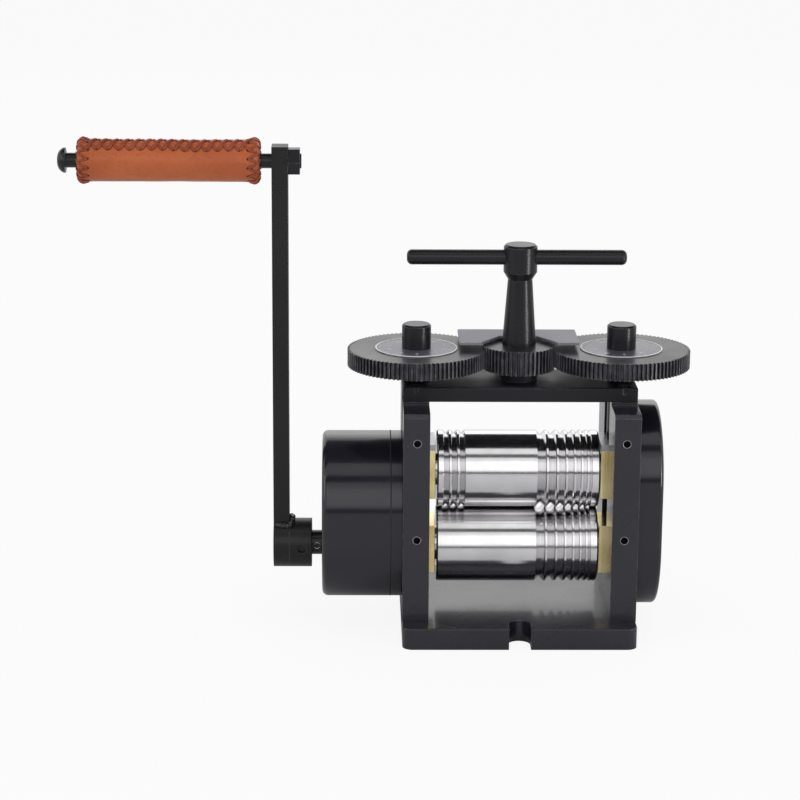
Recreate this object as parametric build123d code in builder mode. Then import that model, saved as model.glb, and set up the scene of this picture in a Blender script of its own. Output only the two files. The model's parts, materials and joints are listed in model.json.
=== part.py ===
from build123d import *
from math import cos, pi, radians, sin
import os

# Jewellers rolling mill, millimetres. +Z is up, the operator stands on the -Y
# side, the crank is on the -X side. Origin: middle of the base's underside.
os.makedirs("parts", exist_ok=True)

# ---- driving dimensions ----
frame_width = 160.0
cheek_thickness = 18.0
cheek_depth = 110.0
base_depth = 140.0
base_height = 15.0
bench_slot_width = 15.0
bench_slot_depth = 18.0

cheek_top = 163.0
ledge_height = 161.0
ledge_edge_height = 158.5
plate_depth = 54.0
plate_thickness = 10.0

roll_length = 112.0
roll_radius = 26.8
journal_radius = 12.0
lower_axis = 54.5
upper_axis = 108.5
open_travel = 3.0

bearing_width = 34.0
bearing_height = 34.5
bearing_inset = 5.0
pad_thickness = 4.0
running_gap = 0.05
sliding_gap = 0.1

screw_spacing = 141.0
screw_head_radius = 10.0
screw_radius = 8.5
screw_top = 211.5
dial_teeth = 93
pinion_teeth = 48
dial_module = 1.0
dial_bottom = 182.5
dial_thickness = 11.7
pinion_bottom = 180.3
pinion_top = 196.8
dial_plate_radius = 28.3
dial_plate_thickness = 0.6

stem_top = 267.0
tommy_height = 258.0
tommy_radius = 5.2
tommy_left = -77.5
tommy_right = 72.5

housing_radius = 50.0
wall = 4.0
gearbox_left = -135.0
gearbox_seam = -88.0
gearbox_low = 18.0
gearbox_high = 134.0
right_cover_end = 97.0
right_cover_low = 13.0
right_cover_high = 156.5

reduction_module = 2.0
reduction_small = 14
reduction_large = 28
roll_gear_module = 3.0
roll_gear_teeth = 18

crank_shaft_radius = 8.5
hub_left = -169.0
hub_right = -142.5
hub_radius = 17.0
arm_width = 11.0
arm_depth = 16.0
arm_top = 334.0
spindle_height = 323.5
spindle_radius = 5.0
spindle_head = -313.0
grip_left = -299.0
grip_right = -177.0
grip_radius = 15.0
leather_thickness = 2.0

# ---- places worked out from them ----
outer_x = frame_width / 2
inner_x = outer_x - cheek_thickness
cheek_y = cheek_depth / 2
plate_top = cheek_top + plate_thickness
screw_x = screw_spacing / 2
lay_axis = lower_axis + reduction_module * (reduction_small + reduction_large) / 2
dial_top = dial_bottom + dial_thickness
half_roll = roll_length / 2
SIDES = {"left": -1, "right": 1}


def save(part, label):
    """Name a finished piece and write its file."""
    part.label = label
    export_step(part, f"parts/{label}.step")


def x_plane(x, z=0.0, y=0.0):
    """A plane facing +X whose sketch axes are Y and Z."""
    return Plane(origin=(x, y, z), x_dir=(0, 1, 0), z_dir=(1, 0, 0))


def rod(x0, x1, radius, z, y=0.0, mode=Mode.ADD):
    """A cylinder along X inside the open part."""
    with BuildSketch(x_plane(x0, z, y)) as disc:
        Circle(radius)
    extrude(disc.sketch, amount=x1 - x0, mode=mode)


def post(x, y, z0, z1, radius, mode=Mode.ADD):
    """A cylinder along Z inside the open part."""
    with BuildSketch(Plane.XY.offset(z0)) as disc:
        with Locations((x, y)):
            Circle(radius)
    extrude(disc.sketch, amount=z1 - z0, mode=mode)


def block(x0, x1, y0, y1, z0, z1, mode=Mode.ADD):
    """A box between two corners inside the open part."""
    with BuildSketch(Plane.XY.offset(z0)) as footprint:
        with Locations(((x0 + x1) / 2, (y0 + y1) / 2)):
            Rectangle(x1 - x0, y1 - y0)
    extrude(footprint.sketch, amount=z1 - z0, mode=mode)


def gear_points(teeth, module, start, addendum, dedendum, share):
    """Corner points of a gear; a tooth is centred on the angle start."""
    pitch_radius = teeth * module / 2
    step = 2 * pi / teeth
    root, tip = pitch_radius - dedendum, pitch_radius + addendum
    flank = 0.36 / pitch_radius
    half = step * share / 2
    points = []
    for k in range(teeth):
        middle = radians(start) + k * step
        corners = (
            (root, -half - dedendum * flank),
            (tip, -half + addendum * flank),
            (tip, half - addendum * flank),
            (root, half + dedendum * flank),
        )
        points += [(r * cos(middle + a), r * sin(middle + a)) for r, a in corners]
    return points


def gear(plane, width, teeth, module, start, addendum, dedendum, share=0.44):
    """A spur gear on the plane inside the open part."""
    with BuildSketch(plane) as outline:
        with BuildLine():
            Polyline(gear_points(teeth, module, start, addendum, dedendum, share), close=True)
        make_face()
    extrude(outline.sketch, amount=width)


def hex_head(plane, across, height):
    """A hexagon on the plane inside the open part."""
    with BuildSketch(plane) as hexagon:
        RegularPolygon(across / 2, 6, major_radius=False)
    extrude(hexagon.sketch, amount=height)


# ---- base plate: rounded slab with an open bench slot front and back ----
with BuildPart() as base_plate:
    block(-outer_x, outer_x, -base_depth / 2, base_depth / 2, 0, base_height)
    fillet(base_plate.edges().filter_by(Axis.Z), 7)
    fillet(base_plate.faces().sort_by(Axis.Z)[-1].edges(), 1)
    for side in (-1, 1):
        edge = side * base_depth / 2
        centre = side * (base_depth / 2 - bench_slot_depth + bench_slot_width / 2)
        post(0, centre, 0, base_height, bench_slot_width / 2, Mode.SUBTRACT)
        block(-bench_slot_width / 2, bench_slot_width / 2, min(edge, centre), max(edge, centre),
              0, base_height, Mode.SUBTRACT)
    for x in (-71, 71):
        for y in (-40, 40):
            post(x, y, 0, base_height, 4.2, Mode.SUBTRACT)
            post(x, y, 0, 8, 6.8, Mode.SUBTRACT)
save(base_plate.part, "base_plate")

with BuildPart() as base_screws:
    for x in (-71, 71):
        for y in (-40, 40):
            post(x, y, 0.5, 8, 6.5)
            post(x, y, 8, base_height + 17, 4)
save(base_screws.part, "base_screws")

# ---- cheeks: side plates with a slot that guides the bearing blocks ----
slot_floor = lower_axis - bearing_height / 2


def cheek(side):
    """One side plate; its slot is open at the top."""
    x0, x1 = sorted((side * inner_x, side * outer_x))
    with BuildSketch(x_plane(x0)) as outline:
        with BuildLine():
            Polyline((-cheek_y, base_height), (cheek_y, base_height), (cheek_y, ledge_edge_height),
                     (cheek_y - 2.5, ledge_height), (28, ledge_height), (28, cheek_top),
                     (-28, cheek_top), (-28, ledge_height), (-cheek_y + 2.5, ledge_height),
                     (-cheek_y, ledge_edge_height), close=True)
        make_face()
    extrude(outline.sketch, amount=x1 - x0)
    block(x0, x1, -bearing_width / 2, bearing_width / 2, slot_floor, cheek_top, Mode.SUBTRACT)
    for y in (-40, 40):
        post(side * 71, y, base_height, base_height + 18, 4, Mode.SUBTRACT)
    for y in (-22.5, 22.5):
        post(side * 71, y, cheek_top - 14, cheek_top, 2.5, Mode.SUBTRACT)
    for z in (73, 141):
        with BuildSketch(Plane(origin=(side * 70.5, -cheek_y, z), z_dir=(0, 1, 0))) as hole:
            Circle(2.5)
        extrude(hole.sketch, amount=14, mode=Mode.SUBTRACT)


with BuildPart() as left_cheek:
    cheek(-1)
save(left_cheek.part, "left_cheek")

with BuildPart() as right_cheek:
    cheek(1)
save(right_cheek.part, "right_cheek")

# ---- top plate: bridge that carries the pressure screws and the T-handle ----
with BuildPart() as top_plate:
    block(-outer_x, outer_x, -plate_depth / 2, plate_depth / 2, cheek_top, plate_top)
    chamfer(top_plate.faces().sort_by(Axis.Z)[-1].edges(), 0.8)
    post(0, 0, plate_top, plate_top + 5, 13)
    for x in (-screw_x, screw_x):
        post(x, 0, cheek_top, plate_top, screw_radius + running_gap, Mode.SUBTRACT)
    post(0, 0, cheek_top, plate_top + 5, 8 + running_gap, Mode.SUBTRACT)
    for x in (-71, 71):
        for y in (-22.5, 22.5):
            post(x, y, cheek_top, plate_top, 2.7, Mode.SUBTRACT)
            post(x, y, plate_top - 5, plate_top, 4.5, Mode.SUBTRACT)
    for x in (-9, 9):
        post(x, 19, plate_top - 8, plate_top, 2, Mode.SUBTRACT)
save(top_plate.part, "top_plate")

with BuildPart() as top_plate_screws:
    for x in (-71, 71):
        for y in (-22.5, 22.5):
            post(x, y, cheek_top - 12, plate_top - 5, 2.5)
            post(x, y, plate_top - 5, plate_top - 0.2, 4.3)
            with BuildSketch(Plane.XY.offset(plate_top - 0.2)):
                with Locations((x, y)):
                    RegularPolygon(2, 6)
            extrude(amount=-2.5, mode=Mode.SUBTRACT)
save(top_plate_screws.part, "top_plate_screws")


# ---- bearing blocks, lift springs and pressure pads ----
def bearing(side, axis_z):
    """A bronze block that stands proud of the cheek on the roll side."""
    x0, x1 = sorted((side * (inner_x - bearing_inset), side * (outer_x - 0.5)))
    half = bearing_width / 2 - sliding_gap
    block(x0, x1, -half, half, axis_z - bearing_height / 2, axis_z + bearing_height / 2)
    rod(x0, x1, journal_radius + running_gap, axis_z, mode=Mode.SUBTRACT)


spring_wire = 1.0
spring_coil = 4.5
spring_turns = 5
spring_low = lower_axis + bearing_height / 2
spring_high = upper_axis - bearing_height / 2


def lift_spring(x, y):
    """A round-wire spring between the two blocks; its ends stop short of them."""
    rise = spring_high - spring_low - 2 * spring_wire - 0.8
    low = spring_low + spring_wire + 0.4
    with BuildLine(Plane(origin=(x, y, low))) as coil:
        Helix(pitch=rise / spring_turns, height=rise, radius=spring_coil)
    start = coil.edges()[0]
    with BuildSketch(Plane(origin=start @ 0, z_dir=start % 0)) as wire:
        Circle(spring_wire)
    sweep(wire.sketch, path=coil.wires()[0], is_frenet=True)


for name, side in SIDES.items():
    with BuildPart() as lower_bearing:
        bearing(side, lower_axis)
    save(lower_bearing.part, f"lower_bearing_{name}")
    with BuildPart() as upper_bearing:
        bearing(side, upper_axis)
    save(upper_bearing.part, f"upper_bearing_{name}")
    with BuildPart() as springs:
        lift_spring(side * 71, -10)
        lift_spring(side * 71, 10)
    save(springs.part, f"lift_springs_{name}")
    with BuildPart() as pad:
        pad_low = upper_axis + bearing_height / 2
        pad_half = bearing_width / 2 - sliding_gap
        pad_x = sorted((side * (inner_x - bearing_inset), side * (outer_x - 0.5)))
        block(pad_x[0], pad_x[1], -pad_half, pad_half, pad_low, pad_low + pad_thickness)
    save(pad.part, f"pressure_pad_{name}")

# ---- rolls ----
first_groove = 16.0
groove_land = 1.3
groove_widths = [6.4 - 0.7 * k for k in range(7)]


def groove_centres(start, widths):
    """Middles of neighbouring V grooves, each a land apart."""
    centres = [start]
    for before, after in zip(widths, widths[1:]):
        centres.append(centres[-1] + (before + after) / 2 + groove_land)
    return centres


def roll_profile(axis_z, grooves, left_end, right_end):
    """A roll turned about its own axis, with journals out to both ends."""
    outline = [(left_end, 0), (left_end, journal_radius), (-half_roll, journal_radius),
               (-half_roll, roll_radius - 1), (-half_roll + 1, roll_radius)]
    for centre, width in grooves:
        outline += [(centre - width / 2, roll_radius), (centre, roll_radius - width / 2),
                    (centre + width / 2, roll_radius)]
    outline += [(half_roll - 1, roll_radius), (half_roll, roll_radius - 1),
                (half_roll, journal_radius), (right_end, journal_radius), (right_end, 0)]
    with BuildSketch(Plane(origin=(0, 0, axis_z), x_dir=(1, 0, 0), z_dir=(0, -1, 0))) as profile:
        with BuildLine():
            Polyline(outline, close=True)
        make_face()
    revolve(profile.sketch, axis=Axis((0, 0, axis_z), (1, 0, 0)))


wire_grooves = list(zip(groove_centres(first_groove, groove_widths), groove_widths))
left_grooves = [(x, 4.2) for x in (-49.6, -44.1, -38.6)]
stage_two = (-106.0, -93.0)
stage_one = (-128.0, -115.0)
roll_gear_x = (82.0, 92.0)

with BuildPart() as lower_roll:
    roll_profile(lower_axis, wire_grooves, stage_two[0] - 3, roll_gear_x[1])
save(lower_roll.part, "lower_roll")

with BuildPart() as upper_roll:
    roll_profile(upper_axis, left_grooves + wire_grooves, -outer_x + 1, roll_gear_x[1])
save(upper_roll.part, "upper_roll")

# ---- roll gears: deep teeth that stay in mesh as the gap changes ----
roll_gear_addendum = 2.4
roll_gear_dedendum = 4.5
for name, axis_z, start in (("lower_roll_gear", lower_axis, 90), ("upper_roll_gear", upper_axis, 80)):
    with BuildPart() as roll_gear:
        gear(x_plane(roll_gear_x[0], axis_z), roll_gear_x[1] - roll_gear_x[0], roll_gear_teeth,
             roll_gear_module, start, roll_gear_addendum, roll_gear_dedendum, 0.4)
        rod(roll_gear_x[0], roll_gear_x[1], journal_radius, axis_z, mode=Mode.SUBTRACT)
    save(roll_gear.part, name)


# ---- side housings: round-ended shells ----
def round_ended(x0, x1, low, high, radius, mode=Mode.ADD):
    """A round-ended slab between two X positions inside the open part."""
    with BuildSketch(x_plane(x0, (low + high) / 2)) as outline:
        SlotOverall(high - low, 2 * radius, rotation=90)
    extrude(outline.sketch, amount=x1 - x0, mode=mode)


cover_bolts = [(y, z) for y in (-34, 34) for z in (46, 124)]
head_sink = 0.2
head_height = 2.2
head_radius = 4.0
shank_radius = 2.0
hole_gap = 0.2


def sunk_screw(face, end, y, z):
    """A socket screw along X from the X position face to end, its head just below the face."""
    inward = 1 if end > face else -1
    top = face + inward * head_sink
    under = top + inward * head_height
    rod(min(top, under), max(top, under), head_radius, z, y)
    rod(min(under, end), max(under, end), shank_radius, z, y)
    with BuildSketch(x_plane(top, z, y)) as socket:
        RegularPolygon(2.2, 6)
    extrude(socket.sketch, amount=inward * 1.4, mode=Mode.SUBTRACT)


def sunk_hole(face, end, y, z):
    """The stepped hole for a sunk screw."""
    step = face + (head_sink + head_height) * (1 if end > face else -1)
    rod(min(face, step), max(face, step), head_radius + hole_gap, z, y, Mode.SUBTRACT)
    rod(min(face, end), max(face, end), shank_radius + hole_gap, z, y, Mode.SUBTRACT)


with BuildPart() as right_cover:
    round_ended(outer_x, right_cover_end, right_cover_low, right_cover_high, housing_radius)
    fillet(right_cover.faces().sort_by(Axis.X)[-1].edges(), 3)
    round_ended(outer_x, right_cover_end - wall, right_cover_low + wall, right_cover_high - wall,
                housing_radius - wall, Mode.SUBTRACT)
    for y, z in cover_bolts:
        rod(outer_x, right_cover_end - wall, 5.5, z, y)
        sunk_hole(right_cover_end, outer_x, y, z)
save(right_cover.part, "right_cover")

with BuildPart() as right_cover_screws:
    for y, z in cover_bolts:
        sunk_screw(right_cover_end, outer_x + 1, y, z)
save(right_cover_screws.part, "right_cover_screws")

with BuildPart() as gearbox_plate:
    round_ended(gearbox_seam, -outer_x, gearbox_low, gearbox_high, housing_radius)
    rod(gearbox_seam, -outer_x, journal_radius + 0.3, lower_axis, mode=Mode.SUBTRACT)
    rod(gearbox_seam, -outer_x, 9, lay_axis, mode=Mode.SUBTRACT)
save(gearbox_plate.part, "gearbox_plate")

gearbox_bolts = [(y, z) for y in (-38, 38) for z in (56, 96)]
with BuildPart() as gearbox_cover:
    round_ended(gearbox_left, gearbox_seam, gearbox_low, gearbox_high, housing_radius)
    fillet(gearbox_cover.faces().sort_by(Axis.X)[0].edges(), 4)
    round_ended(gearbox_left + wall, gearbox_seam, gearbox_low + wall, gearbox_high - wall,
                housing_radius - wall, Mode.SUBTRACT)
    rod(gearbox_left, gearbox_left + wall, 11, lower_axis, mode=Mode.SUBTRACT)
    for y, z in gearbox_bolts:
        rod(gearbox_left + wall, gearbox_seam, 5, z, y)
        sunk_hole(gearbox_left, gearbox_seam, y, z)
save(gearbox_cover.part, "gearbox_cover")

with BuildPart() as gearbox_screws:
    for y, z in gearbox_bolts:
        sunk_screw(gearbox_left, gearbox_seam, y, z)
save(gearbox_screws.part, "gearbox_screws")

# ---- reduction train inside the gearbox ----
large_pitch = 180 / reduction_large
tooth_addendum = 1.8
tooth_dedendum = 2.3

with BuildPart() as input_bush:
    rod(gearbox_left, gearbox_left + wall, 11, lower_axis)
    rod(gearbox_left, gearbox_left + wall, crank_shaft_radius + running_gap, lower_axis,
        mode=Mode.SUBTRACT)
save(input_bush.part, "input_bush")

with BuildPart() as input_shaft:
    rod(hub_left + arm_width, stage_one[1], crank_shaft_radius, lower_axis)
    gear(x_plane(stage_one[0], lower_axis), stage_one[1] - stage_one[0], reduction_small,
         reduction_module, 90, tooth_addendum, tooth_dedendum)
save(input_shaft.part, "input_shaft")

lay_radius = 6.0
with BuildPart() as layshaft:
    rod(gearbox_left + wall + 0.5, -outer_x - 0.5, lay_radius, lay_axis)
    gear(x_plane(stage_two[0], lay_axis), stage_two[1] - stage_two[0], reduction_small,
         reduction_module, 90, tooth_addendum, tooth_dedendum)
save(layshaft.part, "layshaft")

with BuildPart() as layshaft_gear:
    gear(x_plane(stage_one[0], lay_axis), stage_one[1] - stage_one[0], reduction_large,
         reduction_module, 90 + large_pitch, tooth_addendum, tooth_dedendum)
    rod(stage_one[0], stage_one[1], lay_radius, lay_axis, mode=Mode.SUBTRACT)
save(layshaft_gear.part, "layshaft_gear")

with BuildPart() as roll_drive_gear:
    gear(x_plane(stage_two[0], lower_axis), stage_two[1] - stage_two[0], reduction_large,
         reduction_module, 90 + large_pitch, tooth_addendum, tooth_dedendum)
    rod(stage_two[0], stage_two[1], journal_radius, lower_axis, mode=Mode.SUBTRACT)
save(roll_drive_gear.part, "roll_drive_gear")

with BuildPart() as layshaft_bush:
    rod(gearbox_seam, -outer_x, 9, lay_axis)
    rod(gearbox_seam, -outer_x, lay_radius + running_gap, lay_axis, mode=Mode.SUBTRACT)
save(layshaft_bush.part, "layshaft_bush")

# ---- crank ----
with BuildPart() as crank_hub:
    rod(hub_left + arm_width, hub_right, hub_radius, lower_axis)
    rod(hub_left + arm_width, hub_right, crank_shaft_radius, lower_axis, mode=Mode.SUBTRACT)
    with BuildSketch(Plane(origin=(-149, 0, lower_axis), z_dir=(0, -1, 0))):
        Circle(3)
    extrude(amount=hub_radius + 1, mode=Mode.SUBTRACT)
save(crank_hub.part, "crank_hub")

with BuildPart() as hub_set_screw:
    with BuildSketch(Plane(origin=(-149, -crank_shaft_radius, lower_axis), z_dir=(0, -1, 0))):
        Circle(3)
    extrude(amount=6)
save(hub_set_screw.part, "hub_set_screw")

with BuildPart() as crank_arm:
    rod(hub_left, hub_left + arm_width, hub_radius, lower_axis)
    block(hub_left, hub_left + arm_width, -arm_depth / 2, arm_depth / 2, lower_axis, arm_top)
    rod(hub_left, hub_left + arm_width, spindle_radius, spindle_height, mode=Mode.SUBTRACT)
save(crank_arm.part, "crank_arm")

with BuildPart() as grip_spindle:
    with BuildSketch(Plane(origin=(spindle_head, 0, spindle_height), x_dir=(1, 0, 0), z_dir=(0, -1, 0))):
        with BuildLine():
            spindle_length = hub_left + arm_width + 9 - spindle_head
            Polyline((0, 0), (spindle_length, 0), (spindle_length, spindle_radius),
                     (5.5, spindle_radius), (5.5, 8.5), (4.2, 8.5))
            ThreePointArc((4.2, 8.5), (1.4, 6.4), (0, 3))
            Line((0, 3), (0, 0))
        make_face()
    revolve(axis=Axis((0, 0, spindle_height), (1, 0, 0)))
save(grip_spindle.part, "grip_spindle")

with BuildPart() as spindle_nut:
    hex_head(x_plane(hub_left + arm_width, spindle_height), 17, 8)
    rod(hub_left + arm_width, hub_left + arm_width + 8, spindle_radius, spindle_height,
        mode=Mode.SUBTRACT)
save(spindle_nut.part, "spindle_nut")

with BuildPart() as grip_core:
    rod(grip_left + 1, grip_right - 1, grip_radius - leather_thickness, spindle_height)
    rod(grip_left + 1, grip_right - 1, spindle_radius + running_gap, spindle_height,
        mode=Mode.SUBTRACT)
save(grip_core.part, "grip_core")

with BuildPart() as grip_leather:
    rod(grip_left, grip_right, grip_radius, spindle_height)
    fillet(grip_leather.edges(), 4)
    rod(grip_left + 1, grip_right - 1, grip_radius - leather_thickness, spindle_height,
        mode=Mode.SUBTRACT)
    rod(grip_left, grip_right, 7, spindle_height, mode=Mode.SUBTRACT)
save(grip_leather.part, "grip_leather")

# ---- pressure screws and their toothed dials ----
dial_addendum = 0.8
dial_dedendum = 1.05
for name, side in SIDES.items():
    with BuildPart() as pressure_screw:
        post(side * screw_x, 0, upper_axis + bearing_height / 2 + pad_thickness, dial_bottom, screw_radius)
        post(side * screw_x, 0, dial_bottom, screw_top, screw_head_radius)
        chamfer(pressure_screw.faces().sort_by(Axis.Z)[-1].edges(), 1.2)
    save(pressure_screw.part, f"pressure_screw_{name}")
    with BuildPart() as dial:
        gap_angle = 180 if side > 0 else 0
        gear(Plane(origin=(side * screw_x, 0, dial_bottom)), dial_thickness, dial_teeth, dial_module,
             gap_angle + 180 / dial_teeth, dial_addendum, dial_dedendum)
        post(side * screw_x, 0, dial_bottom, dial_top, screw_head_radius, Mode.SUBTRACT)
    save(dial.part, f"dial_{name}")
    with BuildPart() as dial_plate:
        post(side * screw_x, 0, dial_top, dial_top + dial_plate_thickness, dial_plate_radius)
        post(side * screw_x, 0, dial_top, dial_top + 1, screw_head_radius, Mode.SUBTRACT)
    save(dial_plate.part, f"dial_plate_{name}")

# ---- T-handle: stem, tommy bar and the pinion that turns both dials ----
with BuildPart() as handle_stem:
    with BuildSketch(Plane.XZ):
        with BuildLine():
            Polyline((0, cheek_top), (8, cheek_top), (8, pinion_top), (11.5, pinion_top),
                     (11.5, pinion_top + 3), (8.4, 243), (11.5, 248), (11.5, stem_top - 1.5),
                     (10, stem_top), (0, stem_top), close=True)
        make_face()
    revolve(axis=Axis.Z)
    rod(-12, 12, tommy_radius, tommy_height, mode=Mode.SUBTRACT)
save(handle_stem.part, "handle_stem")

with BuildPart() as tommy_bar:
    rod(tommy_left, tommy_right, tommy_radius, tommy_height)
    fillet(tommy_bar.edges().filter_by(GeomType.CIRCLE), 3.5)
save(tommy_bar.part, "tommy_bar")

with BuildPart() as handle_pinion:
    gear(Plane(origin=(0, 0, pinion_bottom)), pinion_top - pinion_bottom, pinion_teeth, dial_module,
         0, dial_addendum, dial_dedendum)
    post(0, 0, pinion_bottom, pinion_top, 8, Mode.SUBTRACT)
save(handle_pinion.part, "handle_pinion")

# ---- gear guard: bent sheet over the mesh, screwed down behind the pinion ----
guard_low = dial_top + open_travel + dial_plate_thickness + 0.2
guard_high = guard_low + 2
guard_front, guard_back = -7.0, 33.0
tab_half = 14.0
with BuildPart() as gear_guard:
    with BuildSketch(Plane.XY.offset(guard_low)):
        with BuildLine():
            Polyline((-41, guard_front), (-26.5, guard_front), (-13, 13), (13, 13),
                     (26.5, guard_front), (41, guard_front), (41, guard_back),
                     (-41, guard_back), close=True)
        make_face()
    extrude(amount=guard_high - guard_low)
    block(-tab_half, tab_half, guard_back - 2, guard_back, plate_top, guard_low)
    block(-tab_half, tab_half, 14.5, guard_back, plate_top, plate_top + 2)
    for x in (-9, 9):
        post(x, 19, plate_top, plate_top + 2, 2.2, Mode.SUBTRACT)
save(gear_guard.part, "gear_guard")

with BuildPart() as guard_screws:
    for x in (-9, 9):
        post(x, 19, plate_top - 7, plate_top + 2, 2)
        post(x, 19, plate_top + 2, plate_top + 4.2, 3.6)
save(guard_screws.part, "guard_screws")
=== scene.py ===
"""Looks of the jewellers rolling mill: finishes, laced leather grip, dial markings, light and camera."""
import json
from math import cos, exp, pi, radians, sin

import bmesh
import bpy
from mathutils import Matrix, Vector, noise


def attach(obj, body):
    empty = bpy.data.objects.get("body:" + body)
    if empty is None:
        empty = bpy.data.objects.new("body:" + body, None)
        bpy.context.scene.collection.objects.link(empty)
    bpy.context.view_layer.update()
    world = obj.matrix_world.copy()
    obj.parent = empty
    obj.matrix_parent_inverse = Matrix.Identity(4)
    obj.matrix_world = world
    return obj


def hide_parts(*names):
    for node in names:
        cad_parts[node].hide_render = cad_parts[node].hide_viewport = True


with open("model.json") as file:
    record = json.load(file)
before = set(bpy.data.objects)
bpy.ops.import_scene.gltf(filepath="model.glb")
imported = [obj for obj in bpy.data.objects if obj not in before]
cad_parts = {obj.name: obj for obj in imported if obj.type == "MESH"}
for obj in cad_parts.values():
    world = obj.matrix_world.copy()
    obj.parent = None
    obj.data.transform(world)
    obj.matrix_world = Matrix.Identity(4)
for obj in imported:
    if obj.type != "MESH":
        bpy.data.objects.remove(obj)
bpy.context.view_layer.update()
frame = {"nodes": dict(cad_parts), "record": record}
nodes = frame["nodes"]
scene = bpy.context.scene
MM = 0.001


# ---------------------------------------------------------------- materials
class Nodes:
    """A few short cuts for one material's node tree."""

    def __init__(self, name):
        self.material = bpy.data.materials.new(name)
        self.material.use_nodes = True
        self.tree = self.material.node_tree
        self.shader = self.tree.nodes["Principled BSDF"]
        self.place = self.add("ShaderNodeTexCoord").outputs["Object"]

    def add(self, kind, **values):
        node = self.tree.nodes.new(kind)
        for key, value in values.items():
            setattr(node, key, value)
        return node

    def link(self, source, target):
        self.tree.links.new(source, target)

    def set(self, **values):
        for key, value in values.items():
            self.shader.inputs[key.replace("_", " ")].default_value = value

    def stretched(self, stretch):
        mapping = self.add("ShaderNodeMapping")
        mapping.inputs["Scale"].default_value = stretch
        self.link(self.place, mapping.inputs["Vector"])
        return mapping.outputs["Vector"]

    def noise(self, scale, detail=4.0, stretch=(1, 1, 1)):
        node = self.add("ShaderNodeTexNoise")
        node.inputs["Scale"].default_value = scale
        node.inputs["Detail"].default_value = detail
        self.link(self.stretched(stretch), node.inputs["Vector"])
        return node.outputs["Fac"]

    def ramp(self, fac, low, high, from_value=0.0, to_value=1.0):
        node = self.add("ShaderNodeMapRange", clamp=True)
        ends = {"From Min": low, "From Max": high, "To Min": from_value, "To Max": to_value}
        for key, value in ends.items():
            node.inputs[key].default_value = value
        self.link(fac, node.inputs["Value"])
        return node.outputs["Result"]

    def math(self, kind, a, b):
        node = self.add("ShaderNodeMath", operation=kind)
        for socket, value in zip(node.inputs, (a, b)):
            if isinstance(value, (int, float)):
                socket.default_value = value
            else:
                self.link(value, socket)
        return node.outputs["Value"]

    def mix(self, fac, a, b):
        node = self.add("ShaderNodeMix", data_type="RGBA")
        self.link(fac, node.inputs["Factor"])
        for socket, value in ((node.inputs["A"], a), (node.inputs["B"], b)):
            if isinstance(value, tuple):
                socket.default_value = (*value, 1)
            else:
                self.link(value, socket)
        return node.outputs["Result"]

    def bump(self, height, strength, distance, normal=None):
        node = self.add("ShaderNodeBump")
        node.inputs["Strength"].default_value = strength
        node.inputs["Distance"].default_value = distance
        self.link(height, node.inputs["Height"])
        if normal is not None:
            self.link(normal, node.inputs["Normal"])
        return node.outputs["Normal"]

    def soft_edge(self, radius):
        """Rounded-edge normal, and a mask that is 1 on the edges."""
        bevel = self.add("ShaderNodeBevel", samples=6)
        bevel.inputs["Radius"].default_value = radius
        dot = self.add("ShaderNodeVectorMath", operation="DOT_PRODUCT")
        self.link(bevel.outputs["Normal"], dot.inputs[0])
        self.link(self.add("ShaderNodeNewGeometry").outputs["Normal"], dot.inputs[1])
        return bevel.outputs["Normal"], self.ramp(dot.outputs["Value"], 0.985, 0.86)


def coated(name, colour, edge_wear_and_highlight_colour, roughness, coat, edge, peel=0.05, metallic=0.0, wear_and_highlight_amount=0.8, specular=0.5):
    """Paint or blackened steel: uneven gloss, fine peel, edges lighter as rubbed wear and as a painted highlight.
    """
    n = Nodes(name)
    normal, edges = n.soft_edge(edge)
    cloud = n.noise(22, 5)
    fine = n.noise(420, 3)
    # edges painted lighter in patches: partly rubbed wear, partly a painted highlight on the edges
    wear_and_highlight_edges = n.math("MULTIPLY", edges, n.ramp(n.noise(150, 6), 0.42, 0.6, 0.15, wear_and_highlight_amount))
    tone = n.mix(n.ramp(cloud, 0.3, 0.72), colour, tuple(1.35 * c for c in colour))
    n.link(n.mix(wear_and_highlight_edges, tone, edge_wear_and_highlight_colour), n.shader.inputs["Base Color"])
    gloss = n.ramp(cloud, 0.3, 0.7, roughness * 0.82, roughness * 1.2)
    n.link(n.math("ADD", gloss, n.math("MULTIPLY", wear_and_highlight_edges, 0.12)), n.shader.inputs["Roughness"])
    n.link(n.bump(fine, peel, 0.0006, normal), n.shader.inputs["Normal"])
    n.set(Metallic=metallic, Coat_Weight=coat, Coat_Roughness=0.08, Specular_IOR_Level=specular)
    return n.material


def metal(name, colour, roughness, lines=None, blotch=None, edge=0.0003, line_strength=0.12):
    """Bare metal; lines stretches the noise into tool marks, blotch is a tarnish colour."""
    n = Nodes(name)
    normal, edges = n.soft_edge(edge)
    cloud = n.noise(35, 5)
    tone = n.mix(n.ramp(cloud, 0.35, 0.72), colour, blotch or tuple(0.8 * c for c in colour))
    # edges painted lighter: a painted highlight on the edges
    edge_highlight_colour = tuple(min(1, 1.15 * c) for c in colour)
    n.link(n.mix(n.math("MULTIPLY", edges, 0.6), tone, edge_highlight_colour), n.shader.inputs["Base Color"])
    marks = n.noise(1, 3, lines) if lines else n.noise(900, 4)
    spread = n.ramp(marks, 0.3, 0.7, roughness * 0.7, roughness * 1.3)
    n.link(n.math("ADD", spread, n.ramp(cloud, 0.4, 0.8, 0, 0.06)), n.shader.inputs["Roughness"])
    n.link(n.bump(marks, line_strength, 0.0002, normal), n.shader.inputs["Normal"])
    n.set(Metallic=1.0)
    return n.material


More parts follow.
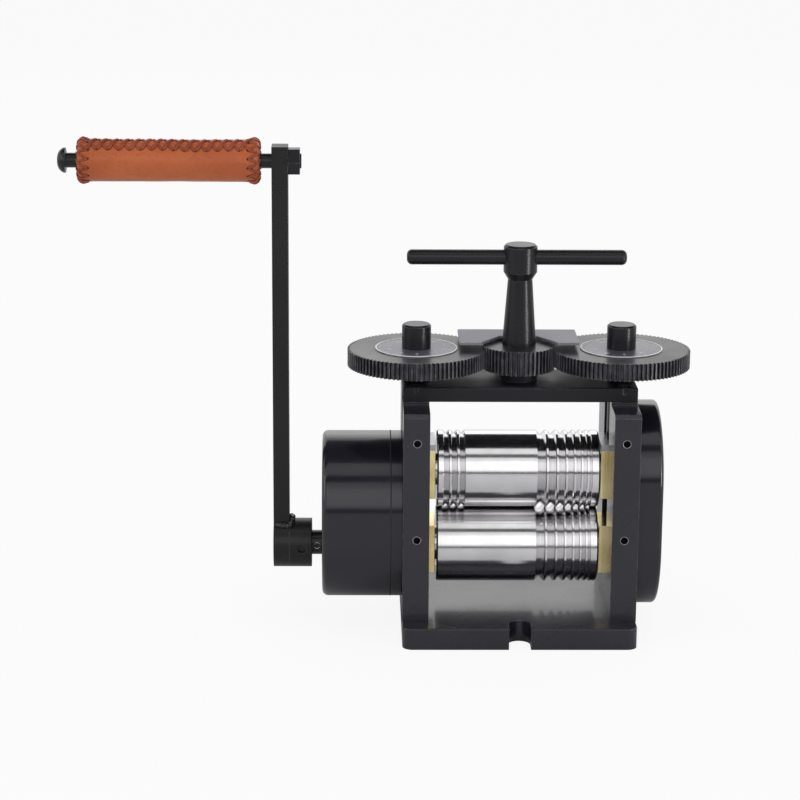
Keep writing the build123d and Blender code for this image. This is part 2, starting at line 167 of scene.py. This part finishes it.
def leather(name, lit, shaded, gloss, pore_strength):
    """Finished hide: pores, long creases, darker handled patches."""
    n = Nodes(name)
    patches = n.noise(38, 5, (0.6, 1, 1))
    mottled = n.noise(420, 4)
    tone = n.mix(n.ramp(patches, 0.32, 0.72), shaded, lit)
    dark = tuple(0.72 * c for c in shaded)
    n.link(n.mix(n.ramp(mottled, 0.56, 0.74, 0, 0.45), tone, dark), n.shader.inputs["Base Color"])
    pores = n.add("ShaderNodeTexVoronoi", feature="DISTANCE_TO_EDGE")
    pores.inputs["Scale"].default_value = 950
    n.link(n.place, pores.inputs["Vector"])
    grain = n.bump(pores.outputs["Distance"], pore_strength, 0.0004)
    creased = n.bump(n.noise(130, 6, (0.35, 1, 1)), 0.28, 0.0009, grain)
    n.link(creased, n.shader.inputs["Normal"])
    n.link(n.ramp(mottled, 0.3, 0.75, gloss * 0.85, gloss * 1.25), n.shader.inputs["Roughness"])
    n.set(Coat_Weight=0.08, Coat_Roughness=0.28, Specular_IOR_Level=0.32)
    return n.material


def wood(name, pale, dark):
    """Plain wood with its grain along the grip."""
    n = Nodes(name)
    rings = n.noise(240, 6, (0.06, 1, 1))
    n.link(n.mix(n.ramp(rings, 0.35, 0.7), pale, dark), n.shader.inputs["Base Color"])
    n.link(n.bump(rings, 0.3, 0.0004), n.shader.inputs["Normal"])
    n.link(n.ramp(rings, 0.3, 0.7, 0.5, 0.7), n.shader.inputs["Roughness"])
    return n.material


# the second colour of each finish is its lighter edge colour: partly wear, partly a painted edge highlight
enamel = coated("enamel", (0.013, 0.0115, 0.019), (0.2, 0.195, 0.23),
                roughness=0.27, coat=0.3, edge=0.0008, specular=0.42)
plate_enamel = coated("plate_enamel", (0.009, 0.0085, 0.012), (0.17, 0.165, 0.19),
                      roughness=0.5, coat=0.0, edge=0.0008, peel=0.08, specular=0.28)
housing_enamel = coated("housing_enamel", (0.009, 0.0082, 0.014), (0.12, 0.12, 0.14),
                        roughness=0.2, coat=0.3, edge=0.0008, peel=0.03, specular=0.4)
dial_enamel = coated("dial_enamel", (0.01, 0.0095, 0.015), (0.5, 0.5, 0.54),
                     roughness=0.38, coat=0.2, edge=0.0003, peel=0.06, wear_and_highlight_amount=1.3)
black_oxide = coated("black_oxide", (0.009, 0.009, 0.011), (0.3, 0.3, 0.31),
                     roughness=0.26, coat=0.0, edge=0.0006, peel=0.09, specular=0.34)
crank_black = coated("crank_black", (0.01, 0.01, 0.011), (0.12, 0.12, 0.13),
                     roughness=0.38, coat=0.0, edge=0.0009, peel=0.1, specular=0.3)
ground_steel = metal("ground_steel", (0.8, 0.79, 0.8), 0.13,
                     lines=(5200, 60, 60), edge=0.00015, line_strength=0.1)
machined_steel = metal("machined_steel", (0.5, 0.5, 0.52), 0.3)
bronze = metal("bronze", (0.98, 0.86, 0.46), 0.15,
               lines=(40, 900, 40), blotch=(0.66, 0.49, 0.2), edge=0.0006, line_strength=0.05)
spring_steel = metal("spring_steel", (0.45, 0.45, 0.47), 0.3)
guard_grey = coated("guard_grey", (0.235, 0.23, 0.265), (0.75, 0.75, 0.78),
                    roughness=0.5, coat=0.0, edge=0.0006, wear_and_highlight_amount=1.3, specular=0.35)
plate_grey = coated("plate_grey", (0.1, 0.098, 0.125), (0.5, 0.5, 0.54),
                    roughness=0.34, coat=0.2, edge=0.0003, peel=0.04, metallic=0.4)
white_ink = coated("white_ink", (0.72, 0.72, 0.74), (0.8, 0.8, 0.8), roughness=0.42, coat=0.1, edge=0.0002)
# near-black matte: painted shade in the lace holes and screw sockets, and the dark joint of the housing
shade_and_joint_dark = coated("shade_and_joint_dark", (0.006, 0.006, 0.007), (0.02, 0.02, 0.02),
                     roughness=0.6, coat=0.0, edge=0.0002)
hide = leather("hide", lit=(0.57, 0.142, 0.042), shaded=(0.44, 0.095, 0.026), gloss=0.4, pore_strength=0.16)
thong_hide = leather("thong_hide", lit=(0.42, 0.098, 0.036), shaded=(0.24, 0.044, 0.018),
                     gloss=0.32, pore_strength=0.1)
weld_metal = coated("weld_metal", (0.02, 0.019, 0.022), (0.45, 0.45, 0.46),
                    roughness=0.34, coat=0.0, edge=0.0006, peel=0.3, wear_and_highlight_amount=1.4)
core = wood("core_wood", pale=(0.55, 0.38, 0.22), dark=(0.33, 0.2, 0.11))

# the finish of each material slot, and of the nodes that differ from their slot
LOOKS = {
    "black_enamel": enamel, "blackened_steel": black_oxide, "ground_steel": ground_steel,
    "machined_steel": machined_steel, "bronze": bronze, "dial_metal": plate_grey,
    "spring_steel": spring_steel, "tan_leather": hide, "core_wood": core,
}
SPECIAL = {
    "gearbox_cover": housing_enamel, "gearbox_plate": housing_enamel, "right_cover": housing_enamel,
    "dial_left": dial_enamel, "dial_right": dial_enamel, "handle_pinion": dial_enamel,
    "gear_guard": guard_grey, "top_plate": plate_enamel, "crank_arm": crank_black,
    "crank_hub": crank_black, "hub_set_screw": black_oxide,
}
for part in frame["record"]["subparts"]:
    node = nodes[part["node"]]
    node.data.materials.clear()
    node.data.materials.append(SPECIAL.get(part["node"], LOOKS[part["material_slot"]]))


# ---------------------------------------------------------------- mesh helpers
def piece(name, verts, faces, material, body, smooth=True):
    """A new mesh in metres from millimetre points, riding on a body."""
    mesh = bpy.data.meshes.new(name)
    mesh.from_pydata([Vector(v) * MM for v in verts], [], faces)
    mesh.materials.append(material)
    made = bpy.data.objects.new(name, mesh)
    scene.collection.objects.link(made)
    bm = bmesh.new()
    bm.from_mesh(mesh)
    bmesh.ops.recalc_face_normals(bm, faces=bm.faces)
    bm.to_mesh(mesh)
    bm.free()
    mesh.shade_smooth() if smooth else mesh.shade_flat()
    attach(made, body)
    return made


def grid_faces(rings, around, first=0, closed=True):
    """Quads between rings of points; closed joins the last point of a ring to its first."""
    faces = []
    for i in range(rings - 1):
        for j in range(around if closed else around - 1):
            a, b = first + i * around + j, first + i * around + (j + 1) % around
            faces.append((a, b, b + around, a + around))
    return faces


def capped(rings, around, first):
    """Grid faces with both ends filled."""
    last = first + (rings - 1) * around
    return grid_faces(rings, around, first) + [
        tuple(range(first, first + around)), tuple(range(last, last + around))]


def strand(verts, faces, path, width, height):
    """A flat rounded thong along (point, normal) pairs, added to verts and faces."""
    around = 8
    first = len(verts)
    for i, (point, normal) in enumerate(path):
        ahead, behind = path[min(i + 1, len(path) - 1)][0], path[max(i - 1, 0)][0]
        across = (ahead - behind).cross(normal).normalized()
        end = 0.55 if i in (0, len(path) - 1) else 1.0
        for k in range(around):
            angle = 2 * pi * k / around
            sideways, upright = cos(angle) * width / 2 * end, sin(angle) * height / 2 * end
            verts.append(point + across * sideways + normal * upright)
    faces += capped(len(path), around, first)


def lathe(profile, centre, axis, around, wobble=None):
    """Rings of points round an axis, 'X' or 'Z', through centre.

    The profile is (along, radius) pairs, and wobble gives what is added to the radius.
    """
    verts = []
    for along, radius in profile:
        for k in range(around):
            angle = 2 * pi * k / around
            r = radius + (wobble(along, angle) if wobble else 0)
            a, b = r * cos(angle), r * sin(angle)
            verts.append(Vector(centre) + Vector((along, -a, b) if axis == "X" else (a, b, along)))
    return verts


# ---------------------------------------------------------------- leather grip
SPINDLE_Z = 323.5
GRIP_LEFT, GRIP_RIGHT, GRIP_R, END_ROUND = -299.0, -177.0, 15.0, 4.0
GRIP_MIDDLE = (GRIP_LEFT + GRIP_RIGHT) / 2
HALF_GRIP = (GRIP_RIGHT - GRIP_LEFT) / 2
SEAM_ANGLE, SEAM_HALF = radians(61), radians(22)
SEAM_STITCHES, END_STITCHES = 15, 14
SEAM_INSET = 6.0            # first and last seam holes, in from the ends
END_LACE_IN = 7.5           # end lacing holes, in from the ends
END_ARC = END_ROUND * pi / 2
FLARE, FLARE_REACH = 0.9, 4.5
FOLD_HEIGHT, FOLD_WIDTH = 0.5, 3.4      # the hide's two edges, folded up along the seam
SLIT_DEPTH, SLIT_WIDTH = 0.75, 0.5      # the gap between them
HOLE_REACH, HOLE_DEPTH = 3, 0.75
RIPPLE, PUCKER = 0.22, 0.16


def grip_outline(x):
    """Radius of the sleeve between its rounded ends: slightly waisted, flared where it is laced."""
    from_end = HALF_GRIP - abs(x - GRIP_MIDDLE)
    return GRIP_R - FLARE + FLARE * exp(-max(from_end - 3, 0) / FLARE_REACH)


def outward_at(angle):
    """Unit vector away from the spindle at an angle up from the front."""
    return Vector((0, -cos(angle), sin(angle)))


def end_path(t):
    """(distance in from the end, radius, normal) at t mm along the surface, from the side over the end."""
    if t < END_LACE_IN - END_ROUND:
        inward = END_LACE_IN - t
        return inward, grip_outline(GRIP_LEFT + inward), (0.0, 1.0)
    turn = t - (END_LACE_IN - END_ROUND)
    if turn < END_ARC:
        a = turn / END_ROUND
        return END_ROUND * (1 - sin(a)), GRIP_R - END_ROUND * (1 - cos(a)), (sin(a), cos(a))
    return 0.0, GRIP_R - END_ROUND - (turn - END_ARC), (1.0, 0.0)


def on_grip(x, angle, lift):
    """(point, normal) on the sleeve at an angle up from the front."""
    outward = outward_at(angle)
    return Vector((x, 0, SPINDLE_Z)) + outward * (grip_outline(x) + lift), outward


def on_end(side, t, angle, lift):
    """(point, normal) on a rounded end; side is -1 at the left and 1 at the right."""
    inward, radius, (nx, nr) = end_path(t)
    outward = outward_at(angle)
    normal = Vector((side * nx, 0, 0)) + outward * nr
    edge = GRIP_LEFT if side < 0 else GRIP_RIGHT
    return Vector((edge - side * inward, 0, SPINDLE_Z)) + outward * radius + normal * lift, normal


def seam_angle(x):
    """The seam wanders a little along the grip."""
    return SEAM_ANGLE + 0.035 * sin((x - GRIP_LEFT) / 19) + 0.02 * sin((x - GRIP_LEFT) / 7)


SEAM_PITCH = (2 * HALF_GRIP - 2 * SEAM_INSET) / SEAM_STITCHES
seam_holes = []
for k in range(SEAM_STITCHES + 1):
    hole_x = GRIP_LEFT + SEAM_INSET + k * SEAM_PITCH
    seam_holes += [(hole_x, seam_angle(hole_x) - SEAM_HALF), (hole_x, seam_angle(hole_x) + SEAM_HALF)]
end_holes = []
for k in range(END_STITCHES):
    hole_angle = 2 * pi * (k + 0.5) / END_STITCHES
    end_holes += [(GRIP_LEFT + END_LACE_IN, hole_angle), (GRIP_RIGHT - END_LACE_IN, hole_angle)]


def grip_relief(x, angle):
    """Height added to the sleeve: two folded edges at the seam, pulled-in holes, soft creases."""
    across = ((angle - seam_angle(x) + pi) % (2 * pi) - pi) * GRIP_R
    height = FOLD_HEIGHT * exp(-(across / FOLD_WIDTH) ** 2) - SLIT_DEPTH * exp(-(across / SLIT_WIDTH) ** 2)
    for hx, ha in seam_holes + end_holes:
        if abs(x - hx) < HOLE_REACH:
            apart = ((angle - ha + pi) % (2 * pi) - pi) * GRIP_R
            if abs(apart) < HOLE_REACH:
                height -= HOLE_DEPTH * exp(-((x - hx) ** 2 + apart ** 2) / 1.1)
    ripple = noise.noise(Vector((x / 16, 2.2 * cos(angle), 2.2 * sin(angle))))
    pucker = PUCKER * cos(END_STITCHES * angle) * exp(-(HALF_GRIP - abs(x - GRIP_MIDDLE)) / 5)
    return height + RIPPLE * ripple + pucker


# the sleeve's outline: lip inside the end, rounded end, side, and the same end mirrored
SLEEVE_STEPS, SLEEVE_AROUND = 210, 168
profile = [(GRIP_LEFT + 1.6, 6.4), (GRIP_LEFT + 0.5, 6.2), (GRIP_LEFT, 7.2), (GRIP_LEFT, 9)]
profile += [(GRIP_LEFT + END_ROUND * (1 - sin(a)), GRIP_R - END_ROUND * (1 - cos(a)))
            for a in (radians(90 - 9 * k) for k in range(11))]
left_half_end = len(profile)
inner_left, inner_right = GRIP_LEFT + END_ROUND, GRIP_RIGHT - END_ROUND
middle = [inner_left + (inner_right - inner_left) * k / SLEEVE_STEPS for k in range(1, SLEEVE_STEPS)]
profile += [(x, grip_outline(x)) for x in middle]
profile += [(GRIP_LEFT + GRIP_RIGHT - x, r) for x, r in reversed(profile[:left_half_end])]
sleeve_verts = lathe(profile, (0, 0, SPINDLE_Z), "X", SLEEVE_AROUND,
                     lambda x, a: grip_relief(x, a) if GRIP_LEFT + 0.6 < x < GRIP_RIGHT - 0.6 else 0)
sleeve = piece("leather_sleeve", sleeve_verts, grid_faces(len(profile), SLEEVE_AROUND), hide,
               "grip")
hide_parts("grip_leather")


def thong_lift(base, rise, dip, i, steps):
    """Height of a thong above the sleeve: bowed between its holes, with both ends dipped in."""
    return base + rise * sin(pi * (i / steps)) ** 0.6 - (dip if i in (0, steps) else 0)


# seam: for each stitch an upper thong one way and a lower, narrower one the other way
lace_verts, lace_faces = [], []
for k in range(SEAM_STITCHES):
    for start, end, rise, width in ((-1, 1, 0.95, 2.6), (1, -1, 0.4, 2.1)):
        path = []
        for i in range(11):
            s = i / 10
            x = GRIP_LEFT + SEAM_INSET + (k + s) * SEAM_PITCH
            swing = start + (end - start) * (s - 0.09 * sin(2 * pi * s))
            path.append(on_grip(x, seam_angle(x) + swing * SEAM_HALF, thong_lift(0.1, rise, 0.5, i, 10)))
        strand(lace_verts, lace_faces, path, width, 1.3)
piece("seam_lacing", lace_verts, lace_faces, thong_hide, "grip")

# ends: each stitch runs from its hole over the rounded end, one thong forward and one half a stitch back
END_REACH = END_LACE_IN - END_ROUND + END_ARC + 1.2
for side, label in ((-1, "left"), (1, "right")):
    verts, faces = [], []
    for k in range(END_STITCHES):
        for sweep, rise in ((1.0, 0.55), (-0.5, 0.25)):
            path = []
            for i in range(13):
                s = i / 12
                angle = 2 * pi * (k + 0.5 + sweep * s) / END_STITCHES
                path.append(on_end(side, s * END_REACH, angle, thong_lift(0.05, rise, 0.45, i, 12)))
            strand(verts, faces, path, 1.8, 0.9)
    piece(f"end_lacing_{label}", verts, faces, thong_hide, "grip")

# dark discs sunk in the lace holes: painted shade in the holes
HOLE_AROUND = 10
hole_shade_verts, hole_shade_faces = [], []
for hx, ha in seam_holes + end_holes:
    first = len(hole_shade_verts)
    point, normal = on_grip(hx, ha, -0.35)
    along = Vector((1, 0, 0))
    aside = normal.cross(along)
    for ring, rise in ((1.0, 0.0), (0.75, 0.18), (0.3, 0.05)):
        for k in range(HOLE_AROUND):
            a = 2 * pi * k / HOLE_AROUND
            hole_shade_verts.append(point + (along * cos(a) + aside * sin(a) * 0.7) * ring + normal * rise)
    hole_shade_faces += capped(3, HOLE_AROUND, first)
piece("lace_hole_shade", hole_shade_verts, hole_shade_faces, shade_and_joint_dark, "grip")

# ---------------------------------------------------------------- weld between crank arm and boss
WELD_STEPS, WELD_AROUND, WELD_R = 150, 20, 1.9
WELD_ROUTE = ((-167.5, -8.3, 69.6), (-162, -8.9, 69.2), (-157.6, -9.2, 69.2), (-156.6, -6, 71.2),
              (-156.4, 0, 72.2), (-156.6, 6, 71.2), (-157.6, 9.2, 69.2), (-162, 8.9, 69.2),
              (-167.5, 8.3, 69.6))


def along_route(route, count):
    """Evenly numbered points on a smooth line through the route (Catmull-Rom)."""
    points = [Vector(p) for p in route]
    made = []
    for i in range(count):
        t = i / (count - 1) * (len(points) - 1)
        k = min(int(t), len(points) - 2)
        u = t - k
        p0, p1, p2, p3 = (points[max(0, min(len(points) - 1, k + d))] for d in (-1, 0, 1, 2))
        made.append(0.5 * (2 * p1 + (p2 - p0) * u + (2 * p0 - 5 * p1 + 4 * p2 - p3) * u * u
                           + (3 * p1 - p0 - 3 * p2 + p3) * u ** 3))
    return made


weld_line = along_route(WELD_ROUTE, WELD_STEPS)
verts = []
for i, point in enumerate(weld_line):
    forward = (weld_line[min(i + 1, WELD_STEPS - 1)] - weld_line[max(i - 1, 0)]).normalized()
    across = forward.cross(Vector((0, 0, 1))).normalized()
    upward = across.cross(forward)
    taper = min(1, 0.35 + i / 10, 0.35 + (WELD_STEPS - 1 - i) / 10)
    for k in range(WELD_AROUND):
        turn = 2 * pi * k / WELD_AROUND
        rough = 0.7 * noise.noise(point / 2.3 + Vector((cos(turn), sin(turn), 0)))
        radius = WELD_R + 0.42 * abs(sin(i * 0.36)) + rough
        verts.append(point + (across * cos(turn) + upward * sin(turn)) * radius * taper)
piece("arm_weld", verts, capped(WELD_STEPS, WELD_AROUND, 0), weld_metal, "crank")

# ---------------------------------------------------------------- dial markings
DIAL_TOP = 194.8
SCREW_X = 70.5
FIGURE_SIZE, FIGURE_RADIUS = 4.0, 19.6
TICK_OUTER, TICK_HEIGHT = 26.6, 0.05
TICKS, RIM_AROUND = 100, 128


def bar(verts, faces, centre, angle, r0, r1, width, z0, z1):
    """A thin raised radial tick round centre."""
    first = len(verts)
    out, across = Vector((cos(angle), sin(angle), 0)), Vector((-sin(angle), cos(angle), 0))
    for z in (z0, z1):
        for r, w in ((r0, -1), (r1, -1), (r1, 1), (r0, 1)):
            verts.append(Vector((centre[0], centre[1], z)) + out * r + across * (w * width / 2))
    faces += [tuple(first + i for i in f) for f in
              ((0, 1, 2, 3), (4, 5, 6, 7), (0, 1, 5, 4), (1, 2, 6, 5), (2, 3, 7, 6), (3, 0, 4, 7))]


def figures(name, centre, material, body):
    """The numbers 0 to 90 round a dial, as thin raised figures."""
    bm = bmesh.new()
    for k in range(10):
        curve = bpy.data.curves.new(f"{name}_{k}", "FONT")
        curve.body = str(10 * k)
        curve.size, curve.extrude = FIGURE_SIZE * MM, 0.02 * MM
        curve.align_x, curve.align_y = "CENTER", "CENTER"
        text = bpy.data.objects.new(curve.name, curve)
        scene.collection.objects.link(text)
        bpy.context.view_layer.update()
        mesh = bpy.data.meshes.new_from_object(text.evaluated_get(bpy.context.evaluated_depsgraph_get()))
        angle = radians(36 * k) - pi / 2
        out = Vector((cos(angle), sin(angle), 0))
        spot = Vector((*centre, DIAL_TOP + 0.03)) + out * FIGURE_RADIUS
        mesh.transform(Matrix.Translation(spot * MM) @ Matrix.Rotation(angle + pi / 2, 4, "Z"))
        bm.from_mesh(mesh)
        bpy.data.objects.remove(text)
        bpy.data.meshes.remove(mesh)
    made = bpy.data.meshes.new(name)
    bm.to_mesh(made)
    bm.free()
    made.materials.clear()
    made.materials.append(material)
    shown = bpy.data.objects.new(name, made)
    scene.collection.objects.link(shown)
    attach(shown, body)


for side, label in ((-1, "left"), (1, "right")):
    centre = (side * SCREW_X, 0)
    verts, faces = [], []
    for k in range(TICKS):
        inner, width = (22.6, 0.34) if k % 10 == 0 else (23.6, 0.22) if k % 5 == 0 else (24.6, 0.22)
        bar(verts, faces, centre, 2 * pi * k / TICKS - pi / 2, inner, TICK_OUTER, width,
            DIAL_TOP, DIAL_TOP + TICK_HEIGHT)
    piece(f"graduations_{label}", verts, faces, white_ink, f"{label}_screw", False)
    rim = [(DIAL_TOP - 0.5, 28.3), (DIAL_TOP + 0.1, 28.3), (DIAL_TOP + 0.22, 28.1), (DIAL_TOP + 0.22, 27.5),
           (DIAL_TOP + 0.1, 27.3), (DIAL_TOP - 0.5, 27.3), (DIAL_TOP - 0.5, 28.3)]
    piece(f"dial_rim_{label}", lathe(rim, (*centre, 0), "Z", RIM_AROUND), grid_faces(len(rim), RIM_AROUND),
          white_ink, f"{label}_screw", False)
    figures(f"figures_{label}", centre, white_ink, f"{label}_screw")

# ---------------------------------------------------------------- screw sockets and hole lips
def cap_screws(name, centres, head_radius, hex_radius, body):
    """Domed cap with a hexagon socket on each plain upright screw head, and a dark disc on its floor as painted
    shade.
    """
    caps, cap_faces, socket_shade, socket_shade_faces = [], [], [], []
    around = 48
    rings = ((head_radius - 0.05, -0.3, False), (head_radius - 0.05, 0.25, False),
             (head_radius - 0.5, 0.6, False), (hex_radius + 0.25, 0.6, True),
             (hex_radius, 0.45, True), (hex_radius, 0.02, True))
    corners = [pi / 3 * k for k in range(6)]
    for centre in centres:
        first = len(caps)
        for radius, rise, hexed in rings:
            for k in range(around):
                angle = 2 * pi * k / around
                r = radius * (cos(pi / 6) / cos(angle % (pi / 3) - pi / 6) if hexed else 1)
                caps.append(Vector(centre) + Vector((r * cos(angle), r * sin(angle), rise)))
        cap_faces += grid_faces(len(rings), around, first)
        # dark disc on the socket floor: painted shade in the socket
        start = len(socket_shade)
        for r, rise in ((hex_radius * 1.02, 0.04), (hex_radius * 0.4, 0.06)):
            socket_shade += [Vector(centre) + Vector((r * cos(a), r * sin(a), rise)) for a in corners]
        socket_shade_faces += capped(2, 6, start)
    piece(name, caps, cap_faces, black_oxide, body)
    piece(f"{name}_socket_shade", socket_shade, socket_shade_faces, shade_and_joint_dark, body, False)


cap_screws("guard_screw_caps", [(x, 19, 177.2) for x in (-9, 9)], 3.6, 1.7, "frame")


def rings_facing_front(name, centres, radius, minor, body):
    """Thin rounded steel rings whose axis points to the front."""
    verts, faces = [], []
    around, section = 56, 8
    for centre in centres:
        first = len(verts)
        for k in range(around):
            angle = 2 * pi * k / around
            radial = Vector((cos(angle), 0, sin(angle)))
            for m in range(section):
                turn = 2 * pi * m / section
                off = radial * (radius + minor * cos(turn)) + Vector((0, 0.8 * minor * sin(turn), 0))
                verts.append(Vector(centre) + off)
        for k in range(around):
            here, there = first + k * section, first + (k + 1) % around * section
            for m in range(section):
                after = (m + 1) % section
                faces.append((here + m, here + after, there + after, there + m))
    piece(name, verts, faces, machined_steel, body)


rings_facing_front("tapped_hole_lips", [(x, -55.0, z) for x in (-SCREW_X, SCREW_X) for z in (73, 141)],
                   2.68, 0.17, "frame")
rings_facing_front("shaft_pin_ring", [(-138.8, -8.15, 54.5)], 2.1, 0.4, "crank")

# the joint between gearbox plate and cover: a thin dark bead round the housing, whose ends are half circles
HOUSING_R, JOINT_X, JOINT_AROUND = 50.0, -88.0, 180
UPPER_CENTRE_Z, LOWER_CENTRE_Z = 84.0, 68.0
BEAD = ((-0.45, -0.3), (-0.35, 0.06), (0.35, 0.06), (0.45, -0.3))
verts, faces = [], []
for k in range(JOINT_AROUND):
    angle = 2 * pi * k / JOINT_AROUND
    middle_z = UPPER_CENTRE_Z if sin(angle) >= 0 else LOWER_CENTRE_Z
    outward = Vector((0, cos(angle), sin(angle)))
    verts += [Vector((JOINT_X + off, 0, middle_z)) + outward * (HOUSING_R + rise) for off, rise in BEAD]
    here, there = 4 * k, 4 * ((k + 1) % JOINT_AROUND)
    faces += [(here + m, here + m + 1, there + m + 1, there + m) for m in range(3)]
piece("housing_joint", verts, faces, shade_and_joint_dark, "frame")


# ---------------------------------------------------------------- floor, light, camera
FLOOR_HALF, FLOOR_COLOUR, FLOOR_GLOW = 14.0, (0.84, 0.84, 0.86), 0.9
FLAG_COLOUR, FLAG_BASE = (0.1, 0.1, 0.11), 0.1
WORLD_LIGHT, WORLD_SEEN = 0.6, 1.0
LENS, SENSOR = 114.05, 36.0
CAMERA_AT = (-112.69, -1694.04, 596.36)
YAW, PITCH, ROLL = radians(1.055), radians(14.528), radians(0.387)


def pale_floor(name):
    """Pale floor paint that also glows white to the camera, and keeps the shadow."""
    material = bpy.data.materials.new(name)
    material.use_nodes = True
    tree = material.node_tree
    tree.nodes.clear()
    out = tree.nodes.new("ShaderNodeOutputMaterial")
    mix = tree.nodes.new("ShaderNodeMixShader")
    path = tree.nodes.new("ShaderNodeLightPath")
    part = tree.nodes.new("ShaderNodeMath")
    part.operation = "MULTIPLY"
    part.inputs[1].default_value = FLOOR_GLOW
    paint = tree.nodes.new("ShaderNodeBsdfDiffuse")
    paint.inputs["Color"].default_value = (*FLOOR_COLOUR, 1)
    glow = tree.nodes.new("ShaderNodeEmission")
    glow.inputs["Color"].default_value = (1, 1, 1, 1)
    tree.links.new(path.outputs["Is Camera Ray"], part.inputs[0])
    tree.links.new(part.outputs[0], mix.inputs["Fac"])
    tree.links.new(paint.outputs[0], mix.inputs[1])
    tree.links.new(glow.outputs[0], mix.inputs[2])
    tree.links.new(mix.outputs[0], out.inputs["Surface"])
    return material


def rectangle(name, corner_points, material):
    """One flat face of the stage."""
    mesh = bpy.data.meshes.new(name)
    mesh.from_pydata(corner_points, [], [(0, 1, 2, 3)])
    mesh.materials.append(material)
    made = bpy.data.objects.new(name, mesh)
    scene.collection.objects.link(made)
    return made


rectangle("floor", [(-FLOOR_HALF, -FLOOR_HALF, 0), (FLOOR_HALF, -FLOOR_HALF, 0),
                    (FLOOR_HALF, FLOOR_HALF, 0), (-FLOOR_HALF, FLOOR_HALF, 0)], pale_floor("floor_white"))

flag_black = bpy.data.materials.new("flag_black")
flag_black.use_nodes = True
card_paint = flag_black.node_tree.nodes["Principled BSDF"].inputs
card_paint["Base Color"].default_value = (*FLAG_COLOUR, 1)
card_paint["Roughness"].default_value = 0.9


def flag(name, elevations, distance, half_width):
    """A dark studio card, seen only in reflections, between two angles above the horizon."""
    low, high = (Vector((0, -distance * cos(e), FLAG_BASE + distance * sin(e))) for e in map(radians, elevations))
    aside = Vector((half_width, 0, 0))
    card = rectangle(name, [low - aside, low + aside, high + aside, high - aside], flag_black)
    card.visible_camera = card.visible_diffuse = card.visible_shadow = False


flag("flag_high", (47, 58), 2.4, 2.2)
flag("flag_horizon", (-1.5, 5), 3.4, 3.0)
flag("flag_overhead", (80, 132), 2.4, 2.6)

# the world lights the object a little less than it shows itself to camera, gloss and glass
world = bpy.data.worlds.new("studio")
scene.world = world
world.use_nodes = True
world_nodes, world_links = world.node_tree.nodes, world.node_tree.links
rays = world_nodes.new("ShaderNodeLightPath")
seen = rays.outputs["Is Camera Ray"]
for kind in ("Is Glossy Ray", "Is Transmission Ray"):
    either = world_nodes.new("ShaderNodeMath")
    either.operation = "MAXIMUM"
    world_links.new(seen, either.inputs[0])
    world_links.new(rays.outputs[kind], either.inputs[1])
    seen = either.outputs[0]
level = world_nodes.new("ShaderNodeMapRange")
level.inputs["To Min"].default_value = WORLD_LIGHT
level.inputs["To Max"].default_value = WORLD_SEEN
world_links.new(seen, level.inputs["Value"])
background = world_nodes["Background"]
background.inputs["Color"].default_value = (1, 1, 1, 1)
world_links.new(level.outputs["Result"], background.inputs["Strength"])


def softbox(name, place, aim, width, height, radiance):
    """An area lamp of a given radiance that the camera doesn't see."""
    light = bpy.data.lights.new(name, "AREA")
    light.shape, light.size, light.size_y = "RECTANGLE", width, height
    light.energy = radiance * pi * width * height
    lamp = bpy.data.objects.new(name, light)
    lamp.location = place
    lamp.rotation_euler = (Vector(aim) - Vector(place)).to_track_quat("-Z", "Y").to_euler()
    scene.collection.objects.link(lamp)
    lamp.visible_camera = False
    return lamp


AIM = (0, 0, 0.13)
softbox("front_box", (0.0, -2.6, 1.2), AIM, 2.4, 1.4, 0.45)
softbox("top_box", (0.1, -0.4, 2.6), AIM, 2.0, 1.4, 1.0).visible_glossy = False
softbox("left_box", (-2.6, -0.7, 1.2), AIM, 0.7, 1.5, 1.8)
softbox("right_box", (1.9, -1.7, 0.9), AIM, 0.35, 1.3, 4.2)
softbox("back_box", (0.3, 2.6, 1.5), AIM, 2.4, 1.2, 0.6)
softbox("edge_strip", (0.66, -0.46, 0.1), (0, 0, 0.2), 0.13, 0.3, 13.0).visible_diffuse = False

camera_data = bpy.data.cameras.new("camera")
camera_data.lens, camera_data.sensor_width = LENS, SENSOR
camera_data.clip_start, camera_data.clip_end = 0.1, 60
camera = bpy.data.objects.new("camera", camera_data)
scene.collection.objects.link(camera)
scene.camera = camera
ahead = Vector((sin(YAW) * cos(PITCH), cos(YAW) * cos(PITCH), -sin(PITCH)))
right = Vector((cos(YAW), -sin(YAW), 0))
up = right.cross(ahead)
axes = Matrix((right * cos(ROLL) + up * sin(ROLL), up * cos(ROLL) - right * sin(ROLL), -ahead)).transposed()
camera.matrix_world = Matrix.Translation(Vector(CAMERA_AT) * MM) @ axes.to_4x4()

scene.view_settings.view_transform = "Standard"
